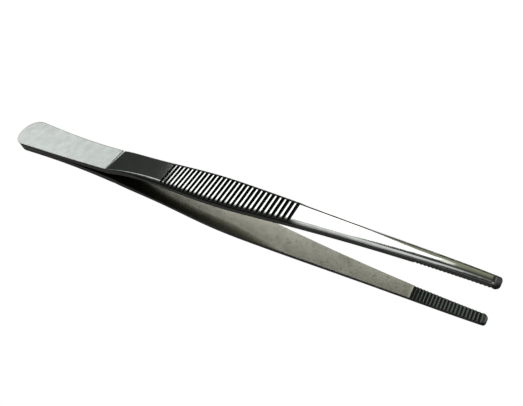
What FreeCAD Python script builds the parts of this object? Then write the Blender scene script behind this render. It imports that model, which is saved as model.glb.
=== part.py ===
import FreeCAD, Part
import math
import os
import Sketcher

V = FreeCAD.Vector
Constraint = Sketcher.Constraint
os.makedirs("parts", exist_ok=True)
doc = FreeCAD.newDocument("thumb_forceps")

# How near two places are taken as one when edges are picked.
slack = 0.01

# Driving dimensions in millimetres, for one arm that lies along +X with its outer face up.
# Both arms are alike. Z = 0 is the plane where their inner faces are welded at the heel.
sizes = {
    "heelWidth": 10.76,
    "heelEndRadius": 9.1,
    "heelCornerInset": 0.58,
    "heelSideRadius": 870.0,
    "heelThick": 1.61,
    "heelEdge": 0.1,
    "stockSide": 2.69,
    "weldLength": 14.5,
    "padStep": 0.15,
    "ribFirst": 64.03,
    "ribPitch": 1.345,
    "ribGap": 0.78,
    "ribFloor": 0.3,
    "ribDepth": 0.42,
    "ribGrooves": 29,
    "toothFirst": 129.6,
    "toothPitch": 0.735,
    "toothDepth": 0.3,
    "toothGrooves": 20,
    "tipRadius": 1.2,
}

# Sections along the arm: place, half width, height of the inner face, thickness, edge rounding.
sections = {
    "root": (42.6, 3.96, 1.05, 1.80, 0.15),
    "spring": (51.5, 3.68, 2.80, 1.75, 0.45),
    "waist": (60.0, 3.74, 3.70, 1.76, 0.85),
    "grip": (72.0, 4.16, 4.33, 2.00, 1.00),
    "palm": (88.0, 3.95, 5.19, 2.02, 1.00),
    "shank": (104.0, 2.94, 6.20, 1.89, 0.95),
    "neck": (117.0, 2.22, 6.78, 1.60, 0.80),
    "jaw": (129.5, 1.66, 7.08, 1.50, 0.70),
    "tip": (145.0, 1.12, 6.75, 1.58, 0.60),
}
for name, values in sections.items():
    sizes.update(zip((name + "At", name + "Half", name + "Inner", name + "Thick", name + "Round"), values))

sheet = doc.addObject("Spreadsheet::Sheet", "Sizes")
for row, (alias, value) in enumerate(sizes.items(), start=1):
    sheet.set(f"A{row}", alias)
    sheet.set(f"B{row}", str(value))
    sheet.setAlias(f"B{row}", alias)
doc.recompute()


def outer(name):
    return sizes[name + "Inner"] + sizes[name + "Thick"]


def start_sketch(body, name, role):
    sketch = body.newObject("Sketcher::SketchObject", body.Name + "_" + name)
    base_plane = next(f for f in body.Origin.OriginFeatures if f.Role == role)
    sketch.AttachmentSupport = [(base_plane, "")]
    sketch.MapMode = "FlatFace"
    return sketch


def bind(sketch, name, expression, *constraint):
    sketch.renameConstraint(sketch.addConstraint(Constraint(*constraint)), name)
    sketch.setExpression("Constraints." + name, expression)


def arc(centre, radius, start, end):
    return Part.ArcOfCircle(Part.Circle(V(*centre, 0), V(0, 0, 1), radius), start, end)


def line(start, end):
    return Part.LineSegment(V(*start, 0), V(*end, 0))


def add_loop(sketch, points):
    first = sketch.GeometryCount
    count = len(points)
    for index in range(count):
        sketch.addGeometry(line(points[index], points[(index + 1) % count]))
    for index in range(count):
        sketch.addConstraint(Constraint("Coincident", first + index, 2, first + (index + 1) % count, 1))


# The heel seen from the side: flat over the weld, then bent outwards to the end of the pad.
def heel_side(body):
    sketch = start_sketch(body, "heel_side", "XZ_Plane")
    weld = sizes["weldLength"]
    thick = sizes["heelThick"]
    end = sizes["rootAt"]
    low = sizes["rootInner"]
    high = outer("root") + sizes["padStep"]
    run = end - weld
    rise = high - thick
    inner_radius = (run ** 2 + low ** 2) / (2 * low)
    outer_radius = (run ** 2 + rise ** 2) / (2 * rise)
    down = -math.pi / 2
    inner_end = down + math.asin(run / inner_radius)
    outer_end = down + math.asin(run / outer_radius)
    sketch.addGeometry(line((0, 0), (weld, 0)))
    sketch.addGeometry(arc((weld, inner_radius), inner_radius, down, inner_end))
    sketch.addGeometry(line((end, low), (end, high)))
    sketch.addGeometry(arc((weld, thick + outer_radius), outer_radius, down, outer_end))
    sketch.addGeometry(line((weld, thick), (0, thick)))
    sketch.addGeometry(line((0, thick), (0, 0)))
    sketch.addConstraint([
        Constraint("Coincident", 0, 1, -1, 1),
        Constraint("Horizontal", 0),
        Constraint("Tangent", 0, 2, 1, 1),
        Constraint("Coincident", 1, 2, 2, 1),
        Constraint("Vertical", 2),
        Constraint("Coincident", 2, 2, 3, 2),
        Constraint("Tangent", 3, 1, 4, 1),
        Constraint("Horizontal", 4),
        Constraint("Coincident", 4, 2, 5, 1),
        Constraint("Coincident", 5, 2, 0, 1),
        Constraint("Vertical", 5),
    ])
    bind(sketch, "weld", "Sizes.weldLength", "DistanceX", 0, 1, 0, 2, weld)
    bind(sketch, "outerFlat", "Sizes.weldLength", "DistanceX", 4, 2, 4, 1, weld)
    bind(sketch, "thick", "Sizes.heelThick", "DistanceY", 5, 2, 5, 1, thick)
    bind(sketch, "padEnd", "Sizes.rootAt", "DistanceX", 0, 1, 2, 1, end)
    bind(sketch, "padInner", "Sizes.rootInner", "DistanceY", 0, 1, 2, 1, low)
    bind(sketch, "padThick", "Sizes.rootThick + Sizes.padStep", "DistanceY", 2, 1, 2, 2, high - low)
    return sketch


# What is cut away round the heel in plan: it leaves a blunt round end and gently waisted sides.
def heel_waste(body):
    sketch = start_sketch(body, "heel_waste", "XY_Plane")
    radius = sizes["heelEndRadius"]
    half = sizes["heelWidth"] / 2
    side = sizes["heelSideRadius"]
    end = sizes["rootAt"]
    root = sizes["rootHalf"]
    margin = sizes["heelWidth"]
    spread = math.asin(half / radius)
    corner = radius * (1 - math.cos(spread))
    side_y = root + side
    lean = math.atan2(end - corner, side_y - half)
    sketch.addGeometry(arc((radius, 0), radius, math.pi - spread, math.pi + spread))
    sketch.addGeometry(arc((end, -side_y), side, math.pi / 2, math.pi / 2 + lean))
    sketch.addGeometry(arc((end, side_y), side, -math.pi / 2 - lean, -math.pi / 2))
    frame = [(end, root), (end, margin), (-margin, margin),
             (-margin, -margin), (end, -margin), (end, -root)]
    for start, stop in zip(frame, frame[1:]):
        sketch.addGeometry(line(start, stop))
    sketch.addConstraint([
        Constraint("PointOnObject", 0, 3, -1),
        Constraint("Coincident", 0, 2, 1, 2),
        Constraint("Coincident", 0, 1, 2, 1),
        Constraint("Coincident", 2, 2, 3, 1),
        Constraint("Coincident", 3, 2, 4, 1),
        Constraint("Coincident", 4, 2, 5, 1),
        Constraint("Coincident", 5, 2, 6, 1),
        Constraint("Coincident", 6, 2, 7, 1),
        Constraint("Coincident", 7, 2, 1, 1),
        Constraint("Symmetric", 0, 1, 0, 2, -1),
        Constraint("Symmetric", 3, 1, 7, 2, -1),
        Constraint("Symmetric", 4, 1, 6, 2, -1),
        Constraint("Vertical", 3),
        Constraint("Horizontal", 4),
        Constraint("Vertical", 5),
        Constraint("Equal", 1, 2),
    ])
    bind(sketch, "endRadius", "Sizes.heelEndRadius", "Radius", 0, radius)
    bind(sketch, "endCentre", "Sizes.heelEndRadius", "DistanceX", -1, 1, 0, 3, radius)
    bind(sketch, "width", "Sizes.heelWidth", "DistanceY", 0, 2, 0, 1, 2 * half)
    bind(sketch, "sideRadius", "Sizes.heelSideRadius", "Radius", 1, side)
    bind(sketch, "padEnd", "Sizes.rootAt", "DistanceX", -1, 1, 3, 1, end)
    bind(sketch, "padWidth", "2 * Sizes.rootHalf", "DistanceY", 7, 2, 3, 1, 2 * root)
    bind(sketch, "marginSide", "Sizes.heelWidth", "DistanceY", -1, 1, 3, 2, margin)
    bind(sketch, "marginEnd", "Sizes.heelWidth", "DistanceX", 4, 2, -1, 1, margin)
    return sketch


# One cross-section of the arm: flat inside, upright flanks and rounded outer edges.
def arm_section(body, name):
    sketch = start_sketch(body, name, "YZ_Plane")
    sketch.setExpression(".AttachmentOffset.Base.z", f"Sizes.{name}At")
    half = sizes[name + "Half"]
    low = sizes[name + "Inner"]
    high = outer(name)
    rounding = sizes[name + "Round"]
    inset = half - rounding
    shoulder = high - rounding
    sketch.addGeometry(line((-half, low), (half, low)))
    sketch.addGeometry(line((half, low), (half, shoulder)))
    sketch.addGeometry(arc((inset, shoulder), rounding, 0, math.pi / 2))
    sketch.addGeometry(line((inset, high), (-inset, high)))
    sketch.addGeometry(arc((-inset, shoulder), rounding, math.pi / 2, math.pi))
    sketch.addGeometry(line((-half, shoulder), (-half, low)))
    sketch.addConstraint([
        Constraint("Coincident", 0, 2, 1, 1),
        Constraint("Tangent", 1, 2, 2, 1),
        Constraint("Tangent", 2, 2, 3, 1),
        Constraint("Tangent", 3, 2, 4, 1),
        Constraint("Tangent", 4, 2, 5, 1),
        Constraint("Coincident", 5, 2, 0, 1),
        Constraint("Vertical", 1),
        Constraint("Symmetric", 0, 1, 0, 2, -2),
        Constraint("Symmetric", 3, 1, 3, 2, -2),
    ])
    bind(sketch, "width", f"2 * Sizes.{name}Half", "DistanceX", 0, 1, 0, 2, 2 * half)
    bind(sketch, "inner", f"Sizes.{name}Inner", "DistanceY", -1, 1, 0, 1, low)
    bind(sketch, "thick", f"Sizes.{name}Thick", "DistanceY", 0, 2, 3, 1, high - low)
    bind(sketch, "edge", f"Sizes.{name}Round", "Radius", 2, rounding)
    return sketch


# What is cut away round the tip in plan.
def tip_waste(body):
    sketch = start_sketch(body, "tip_waste", "XY_Plane")
    radius = sizes["tipRadius"]
    centre = sizes["tipAt"] - radius
    margin = centre + 3 * radius
    sketch.addGeometry(arc((centre, 0), radius, -math.pi / 2, math.pi / 2))
    frame = [(centre, radius), (centre, 2 * radius), (margin, 2 * radius),
             (margin, -2 * radius), (centre, -2 * radius), (centre, -radius)]
    for start, stop in zip(frame, frame[1:]):
        sketch.addGeometry(line(start, stop))
    sketch.addConstraint([
        Constraint("PointOnObject", 0, 3, -1),
        Constraint("Coincident", 0, 2, 1, 1),
        Constraint("Coincident", 1, 2, 2, 1),
        Constraint("Coincident", 2, 2, 3, 1),
        Constraint("Coincident", 3, 2, 4, 1),
        Constraint("Coincident", 4, 2, 5, 1),
        Constraint("Coincident", 5, 2, 0, 1),
        Constraint("Symmetric", 2, 1, 4, 2, -1),
        Constraint("Vertical", 0, 1, 0, 3),
        Constraint("Vertical", 0, 2, 0, 3),
        Constraint("Vertical", 1),
        Constraint("Horizontal", 2),
        Constraint("Vertical", 3),
    ])
    bind(sketch, "radius", "Sizes.tipRadius", "Radius", 0, radius)
    bind(sketch, "centre", "Sizes.tipAt - Sizes.tipRadius", "DistanceX", -1, 1, 0, 3, centre)
    bind(sketch, "clearEnd", "3 * Sizes.tipRadius", "DistanceX", 0, 3, 2, 2, margin - centre)
    bind(sketch, "clearSide", "2 * Sizes.tipRadius", "DistanceY", -1, 1, 2, 1, 2 * radius)
    return sketch


# One groove of the thumb grip, square to the outer face between the waist and the shank.
def rib_groove(body):
    sketch = start_sketch(body, "rib_groove", "XZ_Plane")
    rise = "(Sizes.shankInner + Sizes.shankThick - Sizes.waistInner - Sizes.waistThick)"
    slope = f"{rise} / (Sizes.shankAt - Sizes.waistAt)"
    sketch.setExpression(".AttachmentOffset.Base.x", "Sizes.ribFirst")
    height = f"Sizes.waistInner + Sizes.waistThick + (Sizes.ribFirst - Sizes.waistAt) * {slope}"
    sketch.setExpression(".AttachmentOffset.Base.y", height)
    sketch.setExpression(".AttachmentOffset.Rotation.Angle", f"atan({slope})")
    mouth = sizes["ribGap"] / 2
    floor = sizes["ribFloor"] / 2
    depth = sizes["ribDepth"]
    add_loop(sketch, [(-mouth, depth), (-mouth, 0), (-floor, -depth),
                      (floor, -depth), (mouth, 0), (mouth, depth)])
    sketch.addConstraint([
        Constraint("Vertical", 0),
        Constraint("Symmetric", 0, 1, 4, 2, -2),
        Constraint("Symmetric", 1, 1, 3, 2, -2),
        Constraint("Symmetric", 2, 1, 2, 2, -2),
        Constraint("PointOnObject", 0, 2, -1),
    ])
    bind(sketch, "gap", "Sizes.ribGap", "DistanceX", 1, 1, 3, 2, 2 * mouth)
    bind(sketch, "floor", "Sizes.ribFloor", "DistanceX", 2, 1, 2, 2, 2 * floor)
    bind(sketch, "depth", "Sizes.ribDepth", "DistanceY", 2, 1, -1, 1, depth)
    bind(sketch, "clear", "Sizes.ribDepth", "DistanceY", -1, 1, 0, 1, depth)
    return sketch


# One notch between two teeth of the jaw, cut into the inner face.
def tooth_groove(body):
    sketch = start_sketch(body, "tooth_groove", "XZ_Plane")
    sketch.setExpression(".AttachmentOffset.Base.x", "Sizes.toothFirst")
    slope = "(Sizes.tipInner - Sizes.jawInner) / (Sizes.tipAt - Sizes.jawAt)"
    height = f"Sizes.jawInner + (Sizes.toothFirst - Sizes.jawAt) * {slope}"
    sketch.setExpression(".AttachmentOffset.Base.y", height)
    sketch.setExpression(".AttachmentOffset.Rotation.Angle", f"atan({slope})")
    half = sizes["toothPitch"] / 2
    depth = sizes["toothDepth"]
    add_loop(sketch, [(-half, 0), (0, depth), (half, 0), (half, -depth), (-half, -depth)])
    sketch.addConstraint([
        Constraint("Symmetric", 0, 1, 1, 2, -2),
        Constraint("PointOnObject", 0, 2, -2),
        Constraint("PointOnObject", 0, 1, -1),
        Constraint("Vertical", 2),
        Constraint("Vertical", 4),
        Constraint("Horizontal", 3),
    ])
    bind(sketch, "pitch", "Sizes.toothPitch", "DistanceX", 0, 1, 1, 2, 2 * half)
    bind(sketch, "depth", "Sizes.toothDepth", "DistanceY", -1, 1, 0, 2, depth)
    bind(sketch, "clear", "Sizes.toothDepth", "DistanceY", 2, 2, -1, 1, depth)
    return sketch


def cut_through(body, name, sketch):
    pocket = body.newObject("PartDesign::Pocket", body.Name + "_" + name)
    pocket.Profile = sketch
    pocket.Type = "ThroughAll"
    pocket.SideType = "Symmetric"
    return pocket


def repeat_along(body, name, pocket, pitch, count):
    pattern = body.newObject("PartDesign::LinearPattern", body.Name + "_" + name)
    pattern.Originals = [pocket]
    pattern.Direction = (pocket.Profile[0], ["H_Axis"])
    pattern.Mode = "Spacing"
    pattern.setExpression("Offset", pitch)
    pattern.setExpression("Occurrences", count)
    body.Tip = pattern
    return pattern


def edges_where(feature, test):
    return [f"Edge{index}" for index, edge in enumerate(feature.Shape.Edges, start=1) if test(edge)]


# The two upright edges between the heel's round end and its sides.
def at_heel_corner(edge):
    box = edge.BoundBox
    upright = box.XLength < slack and box.YLength < slack and box.ZLength > slack
    return upright and box.XMax < sizes["weldLength"]


# The edge all round the outer face of the heel, without the seam where the face begins to bend.
def on_heel_rim(edge):
    box = edge.BoundBox
    seam = box.XLength < slack and abs(box.XMax - sizes["weldLength"]) < slack
    return box.ZMin > sizes["heelThick"] - slack and not seam


def build_arm(name):
    body = doc.addObject("PartDesign::Body", name)
    body.Label = name

    heel = body.newObject("PartDesign::Pad", name + "_heel")
    heel.Profile = heel_side(body)
    heel.SideType = "Symmetric"
    heel.setExpression("Length", "Sizes.heelWidth + 2 * Sizes.stockSide")
    outline = cut_through(body, "heel_outline", heel_waste(body))
    doc.recompute()

    corners = body.newObject("PartDesign::Fillet", name + "_heel_corners")
    corners.Base = (outline, edges_where(outline, at_heel_corner))
    corners.setExpression("Radius", "Sizes.heelWidth / 2 - Sizes.heelCornerInset")
    doc.recompute()

    rim = body.newObject("PartDesign::Chamfer", name + "_heel_rim")
    rim.Base = (corners, edges_where(corners, on_heel_rim))
    rim.setExpression("Size", "Sizes.heelEdge")
    doc.recompute()

    profiles = [arm_section(body, section) for section in sections]
    arm = body.newObject("PartDesign::AdditiveLoft", name + "_arm")
    arm.Profile = profiles[0]
    arm.Sections = profiles[1:]
    doc.recompute()

    cut_through(body, "tip_end", tip_waste(body))
    grip = cut_through(body, "grip_groove", rib_groove(body))
    repeat_along(body, "grip_ribs", grip, "Sizes.ribPitch", "Sizes.ribGrooves")
    doc.recompute()

    bite = cut_through(body, "jaw_groove", tooth_groove(body))
    repeat_along(body, "jaw_teeth", bite, "Sizes.toothPitch", "Sizes.toothGrooves")
    doc.recompute()
    return body


upper_arm = build_arm("upper_arm")
lower_arm = build_arm("lower_arm")
arms = [upper_arm, lower_arm]

# The forceps stand on the lower arm: on the heel's end and on the bulge of the grip.
tilt = max(math.atan2(outer(name) - sizes["heelThick"], sizes[name + "At"]) for name in sections)
stand = FreeCAD.Rotation(V(0, 1, 0), -math.degrees(tilt))
turned_over = FreeCAD.Rotation(V(1, 0, 0), 180)
upper_arm.Placement = FreeCAD.Placement(V(), stand)
lower_arm.Placement = FreeCAD.Placement(V(), stand * turned_over)
doc.recompute()

# The origin is under the middle of the forceps, on the surface that they stand on.
reach = FreeCAD.BoundBox()
for arm in arms:
    reach.add(arm.Shape.optimalBoundingBox())
shift = V(-reach.Center.x, -reach.Center.y, -reach.ZMin)
for arm in arms:
    arm.Placement.Base = shift
doc.recompute()

for item in doc.Objects:
    if "Invalid" in item.State or "Error" in item.State:
        raise RuntimeError(f"{item.Name} failed: {item.State}")
for arm in arms:
    shape = arm.Shape
    if shape.isNull() or not shape.isValid() or len(shape.Solids) != 1:
        raise RuntimeError(f"{arm.Label} is not one valid solid")
    shape.exportStep(f"parts/{arm.Label}.step")
    box = shape.BoundBox
    extent = " x ".join(f"{length:.2f}" for length in (box.XLength, box.YLength, box.ZLength))
    print(arm.Label, f"{shape.Volume:.1f} mm3", extent, "mm")
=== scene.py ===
import bpy
import math
from mathutils import Matrix, Quaternion, Vector

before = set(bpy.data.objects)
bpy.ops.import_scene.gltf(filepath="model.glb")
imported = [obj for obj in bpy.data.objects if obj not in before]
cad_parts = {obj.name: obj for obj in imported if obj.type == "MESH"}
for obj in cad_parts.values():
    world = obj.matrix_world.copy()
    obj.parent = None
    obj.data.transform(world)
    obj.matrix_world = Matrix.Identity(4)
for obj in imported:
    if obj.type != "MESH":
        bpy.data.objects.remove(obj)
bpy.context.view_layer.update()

# Camera: looks down over the jaws towards the heel, turned a little clockwise as in the photograph.
photoView = {
    "place": (0.06392, -0.05463, 0.10149),
    "aim": (0.01643, 0.00401, 0.008),
    "roll": -10.79,
    "lens": 33.16,
    "sensor": 36,
    "clip": (0.005, 20),
}


def makeCamera(view):
    data = bpy.data.cameras.new("photoCamera")
    data.lens = view["lens"]
    data.sensor_width = view["sensor"]
    data.clip_start, data.clip_end = view["clip"]
    camera = bpy.data.objects.new("photoCamera", data)
    bpy.context.scene.collection.objects.link(camera)
    look = Vector(view["aim"]) - Vector(view["place"])
    roll = Quaternion((0, 0, 1), math.radians(view["roll"]))
    camera.location = view["place"]
    camera.rotation_mode = "QUATERNION"
    camera.rotation_quaternion = look.to_track_quat("-Z", "Y") @ roll
    bpy.context.scene.camera = camera


makeCamera(photoView)
bpy.context.scene.view_settings.view_transform = "Standard"
print("camera placed")


# Small helpers for node trees. This one makes a node, sets its options and sockets, and links what comes
# from another node. A socket is named, or given by its number as i0, i1 and so on.
def addNode(tree, kind, options=None, **sockets):
    node = tree.nodes.new("ShaderNode" + kind)
    for key, value in (options or {}).items():
        setattr(node, key, value)
    for key, value in sockets.items():
        numbered = key[0] == "i" and key[1:].isdigit()
        target = node.inputs[int(key[1:])] if numbered else node.inputs[key.replace("_", " ")]
        if isinstance(value, bpy.types.NodeSocket):
            tree.links.new(value, target)
        else:
            target.default_value = value
    return node


# Goes evenly from low to high as the value goes from start to end.
def ramp(tree, value, start, end, low, high):
    return addNode(tree, "MapRange", i0=value, i1=start, i2=end, i3=low, i4=high).outputs[0]


# Goes smoothly from 0 to 1 as the value goes from start to end.
def fade(tree, value, start, end):
    smooth = {"interpolation_type": "SMOOTHSTEP"}
    return addNode(tree, "MapRange", smooth, i0=value, i1=start, i2=end, i3=0.0, i4=1.0).outputs[0]


def calc(tree, operation, *values):
    sockets = {"i%d" % place: value for place, value in enumerate(values)}
    return addNode(tree, "Math", {"operation": operation}, **sockets).outputs[0]


def product(tree, first, *others):
    for other in others:
        first = calc(tree, "MULTIPLY", first, other)
    return first


def lessBy(tree, loss):
    return calc(tree, "SUBTRACT", 1.0, loss)


def above(tree, value, limit):
    return calc(tree, "GREATER_THAN", value, limit)


def below(tree, value, limit):
    return calc(tree, "LESS_THAN", value, limit)


def vectorCalc(tree, operation, *values):
    sockets = {"i%d" % place: value for place, value in enumerate(values)}
    return addNode(tree, "VectorMath", {"operation": operation}, **sockets)


def scaled(tree, vector, factor):
    return addNode(tree, "VectorMath", {"operation": "SCALE"}, i0=vector, Scale=factor).outputs[0]


def blendValue(tree, share, low, high):
    return addNode(tree, "Mix", {"data_type": "FLOAT"}, i0=share, i2=low, i3=high).outputs[0]


def blendColour(tree, share, low, high):
    return addNode(tree, "Mix", {"data_type": "RGBA"}, i0=share, i6=low, i7=high).outputs[2]


# Room: white to the camera. The steel mirrors a dark studio, a pale band at the horizon and soft patches.
room = {
    "backdrop": 1.0,
    "low": (0.070, 0.078, 0.070, 1),
    "high": (0.12, 0.125, 0.11, 1),
    "highFrom": 0.9,
    "horizon": 0.01,
    "band": (0.07, 0.042),  # half the band's height, out to where it has faded, and where it is full
    "bandTone": (0.9, 0.9, 0.88, 1),
}

# Patches, each in the way that toward gives: full within the inner angle, in degrees, gone past the outer.
glows = {
    "haze": {"toward": (-0.80, -0.10, 0.59), "inner": 8, "outer": 26, "tone": (0.66, 0.70, 0.76, 1)},
    "veil": {"toward": (-0.57, -0.25, 0.78), "inner": 22, "outer": 42, "tone": (1.75, 1.75, 1.72, 1)},
    "lowVeil": {"toward": (-0.43, -0.72, 0.54), "inner": 8, "outer": 25, "tone": (0.85, 0.85, 0.84, 1)},
    "card": {"toward": (-0.06, 0.72, 0.69), "inner": 6, "outer": 20, "tone": (0.66, 0.67, 0.46, 1)},
    "front": {"toward": (0.75, -0.55, 0.25), "inner": 18, "outer": 48, "tone": (1.1, 1.12, 1.1, 1)},
}


def makeRoom(size, patches):
    world = bpy.data.worlds.new("studio")
    bpy.context.scene.world = world
    world.use_nodes = True
    tree = world.node_tree
    tree.nodes.clear()
    view = addNode(tree, "TexCoord").outputs["Generated"]
    height = addNode(tree, "SeparateXYZ", Vector=view).outputs["Z"]
    light = blendColour(tree, fade(tree, height, 0.0, size["highFrom"]), size["low"], size["high"])
    fromHorizon = calc(tree, "ABSOLUTE", calc(tree, "SUBTRACT", height, size["horizon"]))
    light = blendColour(tree, fade(tree, fromHorizon, *size["band"]), light, size["bandTone"])
    for patch in patches.values():
        toward = tuple(Vector(patch["toward"]).normalized())
        near = vectorCalc(tree, "DOT_PRODUCT", view, toward).outputs["Value"]
        rim, core = (math.cos(math.radians(patch[key])) for key in ("outer", "inner"))
        light = blendColour(tree, fade(tree, near, rim, core), light, patch["tone"])
    dim = addNode(tree, "Background", Color=light, Strength=1.0)
    white = addNode(tree, "Background", Color=(1, 1, 1, 1), Strength=size["backdrop"])
    seen = addNode(tree, "LightPath").outputs["Is Camera Ray"]
    mix = addNode(tree, "MixShader", i0=seen, i1=dim.outputs[0], i2=white.outputs[0])
    addNode(tree, "OutputWorld", Surface=mix.outputs[0])


# Lamps: a long soft box on the far side, from beyond the heel to beside the middle, its dimmer end, and a
# weak fill on the near side. Each is a flat panel between two end points, in metres; glow is its brightness.
lamps = {
    "softBox": {"start": (-0.675, 0.391, 0.485), "end": (-0.083, 0.495, 0.752), "width": 0.105, "glow": 3.9},
    "softEnd": {"start": (-0.083, 0.495, 0.752), "end": (-0.040, 0.502, 0.768), "width": 0.105, "glow": 1.8},
    "nearFill": {"start": (-0.30, -0.72, 0.42), "end": (-0.10, -0.78, 0.46), "width": 0.30, "glow": 0.30},
}


def makeLamps(lights):
    for name, size in lights.items():
        start, end = Vector(size["start"]), Vector(size["end"])
        middle = (start + end) / 2
        long = (end - start).normalized()
        back = (middle - middle.dot(long) * long).normalized()
        data = bpy.data.lights.new(name, "AREA")
        data.shape = "RECTANGLE"
        data.size = (end - start).length
        data.size_y = size["width"]
        data.energy = size["glow"] * math.pi * data.size * data.size_y
        lamp = bpy.data.objects.new(name, data)
        bpy.context.scene.collection.objects.link(lamp)
        lamp.location = middle
        lamp.rotation_mode = "QUATERNION"
        lamp.rotation_quaternion = Matrix((long, back.cross(long), back)).transposed().to_quaternion()


# Floor: pale to the camera. The steel mirrors it dark, with a lit strip along the far side of the forceps.
floorSheet = {
    "half": 1.5,
    "drop": 0.0002,
    "pale": 1.0,
    "dark": (0.12, 0.12, 0.12, 1),
    "stripTone": (1, 1, 0.96, 1),
    "stripGlow": 2.2,
    "stripNearSide": (0.004, 0.016),  # across, from dark to lit
    "stripTipEnd": (0.050, 0.034),  # along, from dark to lit
}


def makeFloor(size):
    mesh = bpy.data.meshes.new("paleFloor")
    half = size["half"]
    corners = [(-half, -half, 0), (half, -half, 0), (half, half, 0), (-half, half, 0)]
    mesh.from_pydata(corners, [], [(0, 1, 2, 3)])
    sheet = bpy.data.objects.new("paleFloor", mesh)
    bpy.context.scene.collection.objects.link(sheet)
    paint = bpy.data.materials.new("paleFloor")
    paint.use_nodes = True
    tree = paint.node_tree
    tree.nodes.clear()
    pale = addNode(tree, "Emission", Color=(1, 1, 1, 1), Strength=size["pale"])
    dark = addNode(tree, "BsdfDiffuse", Color=size["dark"])
    spot = addNode(tree, "SeparateXYZ", Vector=addNode(tree, "NewGeometry").outputs["Position"])
    inWidth = fade(tree, spot.outputs[1], *size["stripNearSide"])
    inStrip = product(tree, inWidth, fade(tree, spot.outputs[0], *size["stripTipEnd"]))
    lit = addNode(tree, "Emission", Color=size["stripTone"], Strength=size["stripGlow"])
    under = addNode(tree, "MixShader", i0=inStrip, i1=dark.outputs[0], i2=lit.outputs[0])
    seen = addNode(tree, "LightPath").outputs["Is Camera Ray"]
    mix = addNode(tree, "MixShader", i0=seen, i1=under.outputs[0], i2=pale.outputs[0])
    addNode(tree, "OutputMaterial", Surface=mix.outputs[0])
    mesh.materials.append(paint)
    sheet.location.z = -size["drop"]


makeRoom(room, glows)
makeLamps(lamps)
makeFloor(floorSheet)
print("room, lamps and floor made")

# Arm: zones are measured in millimetres along the arm from the end of the heel, across it, and out from the
# middle plane. Outwardness is 1 where a face looks straight out, and -1 where it looks at the other arm.
arm = {
    "heelEnd": (-0.0725678, 0, 0.0016119),
    "tilt": 3.7507,
    "outer": (0.55, 0.80),  # outwardness, from none to full
    "inner": (-0.80, -0.90),
    "flank": 0.35,  # largest outwardness, either way
    "perMetre": 1000.0,  # millimetres in a metre
}


def measureArm(tree, size, outward):
    byAxis = {"rotation_type": "AXIS_ANGLE"}
    turn = {"Axis": (0, 1, 0), "Angle": math.radians(size["tilt"])}
    place = addNode(tree, "TexCoord").outputs["Object"]
    fromHeel = vectorCalc(tree, "SUBTRACT", place, size["heelEnd"]).outputs[0]
    level = addNode(tree, "VectorRotate", byAxis, Vector=fromHeel, **turn).outputs[0]
    inMm = scaled(tree, level, size["perMetre"])
    spot = addNode(tree, "SeparateXYZ", Vector=inMm)
    normal = addNode(tree, "NewGeometry").outputs["Normal"]
    turned = addNode(tree, "VectorRotate", byAxis, Vector=normal, **turn).outputs[0]
    facing = addNode(tree, "SeparateXYZ", Vector=turned).outputs[2]
    outwardness = product(tree, facing, outward)
    return {
        "inMm": inMm,
        "along": spot.outputs[0],
        "across": spot.outputs[1],
        "height": product(tree, spot.outputs[2], outward),
        "normal": normal,
        "outwardness": outwardness,
        "outer": fade(tree, outwardness, *size["outer"]),
        "inner": fade(tree, outwardness, *size["inner"]),
        "flank": below(tree, calc(tree, "ABSOLUTE", outwardness), size["flank"]),
    }


# Heel: the blasted pad with painted shade along its far rim and in a line before its end, the slanted bevel
# at its end, and the seam of the arms.
heel = {
    "padEnd": 42.6,
    "stepSlack": 0.02,
    "halfAtPadEnd": 3.96,
    "widening": (1740.0, 0.0113),  # d from the pad's end, the half width is d * (d / first + second) more
    "endRadius": 5.15,
    "pastRoundEnd": 9.0,  # keeps the round end's rim out of the straight part
    "rim": (0.50, 0.06),  # in from the rim, from none to full
    "farHalf": (-1.0, 1.5),  # across, from none to full
    # how much painted shade darkens the pad's far rim
    "rimShadeLoss": 0.55,
    "endLine": (0.22, 0.05),  # painted shade line before the pad's end, from none to full
    "endLineShadeLoss": 0.45,
    "bevel": 1.1,
    "seamEnd": 14.5,
    "seamFade": 3.0,
    "seamHeight": (0.26, 0.08),  # out from the middle plane, from none to full
}


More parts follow.
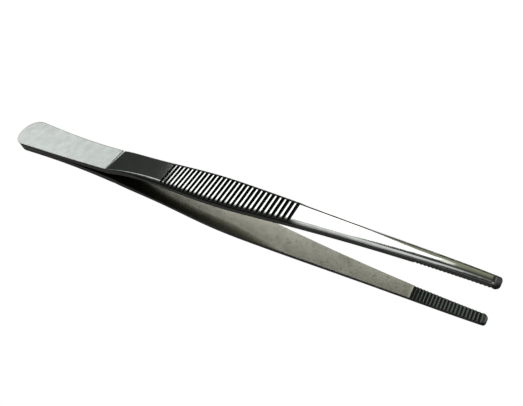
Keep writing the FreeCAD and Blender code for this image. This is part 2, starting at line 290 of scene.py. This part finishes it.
def markHeel(tree, at, size):
    along, across = at["along"], at["across"]
    padEnd, half, radius = size["padEnd"], size["halfAtPadEnd"], size["endRadius"]
    onPad = product(tree, below(tree, along, padEnd + size["stepSlack"]), at["outer"])
    slant = calc(tree, "ADD", calc(tree, "DIVIDE", across, 2 * half), 0.5)
    bevelEnd = calc(tree, "ADD", product(tree, slant, size["bevel"]), padEnd)
    lineStart, lineEnd = size["endLine"]
    shadedLine = product(tree, fade(tree, along, padEnd - lineStart, padEnd - lineEnd), onPad)

    # Distance in from the rim: from the flared side, or from the round end where that is nearer.
    bow, flare = size["widening"]
    gap = calc(tree, "MAXIMUM", calc(tree, "SUBTRACT", padEnd, along), 0.0)
    growth = product(tree, gap, calc(tree, "ADD", calc(tree, "DIVIDE", gap, bow), flare))
    fromSide = calc(tree, "SUBTRACT", calc(tree, "ADD", growth, half), across)
    behind = calc(tree, "MINIMUM", calc(tree, "SUBTRACT", along, radius), 0.0)
    fromCentre = addNode(tree, "CombineXYZ", X=behind, Y=across).outputs[0]
    reach = vectorCalc(tree, "LENGTH", fromCentre).outputs["Value"]
    straight = product(tree, above(tree, along, radius), size["pastRoundEnd"])
    fromEnd = calc(tree, "ADD", calc(tree, "SUBTRACT", radius, reach), straight)
    fromRim = calc(tree, "MINIMUM", fromSide, fromEnd)
    shadedRim = product(tree, fade(tree, fromRim, *size["rim"]), fade(tree, across, *size["farHalf"]), onPad)

    # Painted shade on the pad: darker along the far rim and in a line just before the pad's end.
    rimShadeLoss, lineShadeLoss = product(tree, shadedRim, size["rimShadeLoss"]), product(tree, shadedLine, size["endLineShadeLoss"])
    nearHeel = fade(tree, along, size["seamEnd"], size["seamEnd"] - size["seamFade"])
    return {
        "pad": onPad,
        "bevel": product(tree, below(tree, along, bevelEnd), at["outer"]),
        "seam": product(tree, fade(tree, at["height"], *size["seamHeight"]), nearHeel, at["flank"]),
        "rimAndEndShade": lessBy(tree, calc(tree, "ADD", rimShadeLoss, lineShadeLoss)),
    }


# Distance, in millimetres, to the middle of the nearest of evenly spaced grooves.
def toNearest(tree, along, first, pitch):
    turns = calc(tree, "DIVIDE", calc(tree, "SUBTRACT", along, first - 0.5 * pitch), pitch)
    middle = calc(tree, "SUBTRACT", calc(tree, "FRACT", turns), 0.5)
    return product(tree, calc(tree, "ABSOLUTE", middle), pitch)


# Grip: painted shade in the grooves between the ribs, a little wider towards the far side, and painted shade
# along the edges beside them.
grip = {
    "firstGroove": 64.03,
    "lastGroove": 101.7,
    "pitch": 1.3426,
    "past": 0.6,
    "halfGroove": (0.50, 0.40),  # from the groove's middle, from none to full
    "widerAcross": 0.012,
    "floorHeight": 5.03,
    "floorFrom": 60.0,
    "floorClimb": 0.0598,
    "edge": (0.972, 0.91),  # outwardness, from none to full
    "edgeLeast": 0.2,  # outwardness below which the edge is flank
    "edgeAfterPad": 4.0,
    "edgePastGrooves": 3.0,
}


def markGrip(tree, at, size, padEnd):
    along, outwardness = at["along"], at["outwardness"]
    first, last = size["firstGroove"], size["lastGroove"]
    climb = product(tree, calc(tree, "SUBTRACT", along, size["floorFrom"]), size["floorClimb"])
    floorHeight = calc(tree, "ADD", climb, size["floorHeight"])
    ribbed = product(tree, above(tree, along, first - size["past"]), below(tree, along, last + size["past"]))
    overFloor = product(tree, ribbed, above(tree, at["height"], floorHeight))
    toGroove = toNearest(tree, along, first, size["pitch"])
    toGroove = calc(tree, "SUBTRACT", toGroove, product(tree, at["across"], size["widerAcross"]))
    # Painted shade in the grooves and along the edges of the outer face.
    grooveShade = product(tree, fade(tree, toGroove, *size["halfGroove"]), overFloor)
    edgeShade = product(
        tree,
        fade(tree, outwardness, *size["edge"]),
        above(tree, outwardness, size["edgeLeast"]),
        fade(tree, along, padEnd, padEnd + size["edgeAfterPad"]),
        fade(tree, along, last + size["edgePastGrooves"], last),
    )
    return {"grooveAndEdgeShade": calc(tree, "MAXIMUM", grooveShade, edgeShade)}


# Jaw: teeth with painted shade in the notches between them, a painted highlight on the arris just before the
# first one, and painted shade on the round nose.
jaw = {
    "firstNotch": 129.6,
    "beforeFirst": 0.36,
    "pitch": 0.735,
    "halfNotch": (0.32, 0.16),  # from the notch's middle, from none to full
    "underside": -0.25,  # outwardness of the toothed side, at most
    "arrisHighlight": (128.5, 129.0),
    "arrisHighlightGain": 0.45,
    "shadedNose": (143.2, 144.3),
}


def markJaw(tree, at, size):
    along, outwardness = at["along"], at["outwardness"]
    teethFrom = size["firstNotch"] - size["beforeFirst"]
    onTeeth = product(tree, above(tree, along, teethFrom), below(tree, outwardness, size["underside"]))
    toNotch = toNearest(tree, along, size["firstNotch"], size["pitch"])
    onArrisHighlight = product(tree, fade(tree, along, *size["arrisHighlight"]), below(tree, along, teethFrom), at["inner"])
    return {
        "tooth": onTeeth,
        "notchShade": product(tree, fade(tree, toNotch, *size["halfNotch"]), onTeeth),
        "shadedNose": product(tree, fade(tree, along, *size["shadedNose"]), above(tree, outwardness, size["underside"])),
        "arrisHighlight": calc(tree, "ADD", product(tree, onArrisHighlight, size["arrisHighlightGain"]), 1.0),
    }


# Grain: blasted on the pad, brushed lengthwise inside, clouds and a few stains. Scales are per millimetre.
grain = {
    "blasted": {"scale": 7.0, "detail": 3.0, "rough": 0.6},
    "brushed": {"scale": 2.6, "detail": 4.0, "rough": 0.65},
    "clouds": {"scale": 0.42, "detail": 2.5, "rough": 0.55},
    "specks": {"scale": 1.3, "detail": 4.0, "rough": 0.7},
    "drawnOut": (0.10, 1.0, 1.0),  # stretches the brushing along the arm
    "stains": (0.54, 0.70),  # specks, from none to full
    "stainShare": 0.75,
    "patchy": (0.3, 0.7, 0.90, 1.07),  # noise from and to, and the brightness there
    "uneven": (0.3, 0.7, 0.90, 1.12),  # noise from and to, and the roughness there, as factors
}


def makeGrain(tree, at, size):
    noise = {}
    drawnOut = vectorCalc(tree, "MULTIPLY", at["inMm"], size["drawnOut"]).outputs[0]
    for name in ("blasted", "brushed", "clouds", "specks"):
        kind = size[name]
        place = drawnOut if name == "brushed" else at["inMm"]
        sockets = {"Scale": kind["scale"], "Detail": kind["detail"], "Roughness": kind["rough"]}
        noise[name] = addNode(tree, "TexNoise", Vector=place, **sockets).outputs[0]
    stained = fade(tree, noise["specks"], *size["stains"])
    return {
        "blasted": noise["blasted"],
        "brushed": noise["brushed"],
        "stain": product(tree, stained, at["inner"], size["stainShare"]),
        "patchy": ramp(tree, noise["clouds"], *size["patchy"]),
        "uneven": ramp(tree, noise["brushed"], *size["uneven"]),
    }


# Inner face: painted shade, darker towards the heel and a little darker from the shank to the tip.
innerFace = {
    "dark": (84.0, 62.0),  # along, from none to full
    "darkLoss": 0.38,
    "tipShade": (94.0, 114.0),
    "tipShadeLoss": 0.26,
}


def dimInside(tree, at, size):
    # Painted shade on the inner face, towards the heel and towards the tip.
    dark = product(tree, fade(tree, at["along"], *size["dark"]), at["inner"], size["darkLoss"])
    tipShade = product(tree, fade(tree, at["along"], *size["tipShade"]), at["inner"], size["tipShadeLoss"])
    return product(tree, lessBy(tree, tipShade), lessBy(tree, dark))


# Relief: the tip's outer face is slightly crowned and its nose rounds over, both by a lean of the normal.
# The grains of the pad and of the inner face are bumps, and only their depths are in metres.
relief = {
    "crownFrom": 110.0,
    "crownTo": 139.0,
    "crownLean": 0.16,
    "halfAtStart": 2.75,
    "halfAtEnd": 1.35,
    "noseLean": 1.6,
    "padDepth": 0.000012,
    "padStrength": 0.5,
    "innerDepth": 0.000005,
    "innerStrength": 0.3,
}


def raiseSurface(tree, at, zones, noise, size):
    ahead = (at["along"], size["crownFrom"], size["crownTo"])
    half = ramp(tree, *ahead, size["halfAtStart"], size["halfAtEnd"])
    lean = ramp(tree, *ahead, 0.0, size["crownLean"])
    sideways = product(tree, calc(tree, "DIVIDE", at["across"], half), lean, at["outer"])
    forward = product(tree, zones["shadedNose"], at["outer"], size["noseLean"])
    push = addNode(tree, "CombineXYZ", X=forward, Y=sideways).outputs[0]
    leaned = vectorCalc(tree, "ADD", at["normal"], push).outputs[0]
    surface = vectorCalc(tree, "NORMALIZE", leaned).outputs[0]
    bumps = (
        (product(tree, zones["pad"], size["padStrength"]), size["padDepth"], noise["blasted"]),
        (product(tree, at["inner"], size["innerStrength"]), size["innerDepth"], noise["brushed"]),
    )
    for strength, depth, pattern in bumps:
        sockets = {"Strength": strength, "Distance": depth, "Height": pattern, "Normal": surface}
        surface = addNode(tree, "Bump", **sockets).outputs[0]
    return surface


# Steel: colour and roughness of each zone. Those after polish lie over it in this order. The bevel's zone
# takes in the pad, so both have the blasted finish.
blasted = {"tone": (0.75, 0.79, 0.77, 1), "rough": 0.46}
steel = {
    "polish": {"tone": (0.31, 0.32, 0.31, 1), "rough": 0.07},
    "pad": blasted,
    "bevel": blasted,
    "flank": {"tone": (0.30, 0.31, 0.30, 1), "rough": 0.24},
    "seam": {"tone": (0.75, 0.77, 0.76, 1)},
    "inner": {"tone": (0.245, 0.243, 0.206, 1), "rough": 0.20},
    "stain": {"tone": (0.10, 0.095, 0.07, 1)},
    "tooth": {"tone": (0.155, 0.18, 0.167, 1), "rough": 0.34},
    # painted shade in the notches between the teeth
    "notchShade": {"tone": (0.07, 0.08, 0.073, 1), "rough": 0.42},
    # painted shade in the grip's grooves and along its edges
    "grooveAndEdgeShade": {"tone": (0.025, 0.028, 0.025, 1), "rough": 0.45},
    # painted shade on the round nose
    "shadedNose": {"tone": (0.06, 0.062, 0.06, 1)},
}


def makeArmSteel(name, finish, outward):
    paint = bpy.data.materials.new(name)
    paint.use_nodes = True
    tree = paint.node_tree
    tree.nodes.clear()
    at = measureArm(tree, arm, outward)
    noise = makeGrain(tree, at, grain)
    zones = {"flank": at["flank"], "inner": at["inner"], "stain": noise["stain"]}
    zones.update(markHeel(tree, at, heel))
    zones.update(markGrip(tree, at, grip, heel["padEnd"]))
    zones.update(markJaw(tree, at, jaw))

    tone, rough = finish["polish"]["tone"], finish["polish"]["rough"]
    for zone, look in finish.items():
        if zone == "polish":
            continue
        tone = blendColour(tree, zones[zone], tone, look["tone"])
        if "rough" in look:
            rough = blendValue(tree, zones[zone], rough, look["rough"])
    # Brightness of the steel: random clouds, painted shade on the pad and the inner face, and a painted
    # highlight on the jaw's arris.
    light = product(tree, noise["patchy"], zones["rimAndEndShade"], dimInside(tree, at, innerFace), zones["arrisHighlight"])
    shader = addNode(
        tree,
        "BsdfPrincipled",
        Base_Color=scaled(tree, tone, light),
        Metallic=1.0,
        Roughness=product(tree, rough, noise["uneven"]),
        Normal=raiseSurface(tree, at, zones, noise, relief),
    )
    addNode(tree, "OutputMaterial", Surface=shader.outputs[0])
    return paint


for node, outward in (("upper_arm", 1.0), ("lower_arm", -1.0)):
    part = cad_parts[node]
    paint = makeArmSteel(node.replace("_arm", "ArmSteel"), steel, outward)
    for spot in part.material_slots:
        spot.material = paint
print("steel on both arms")
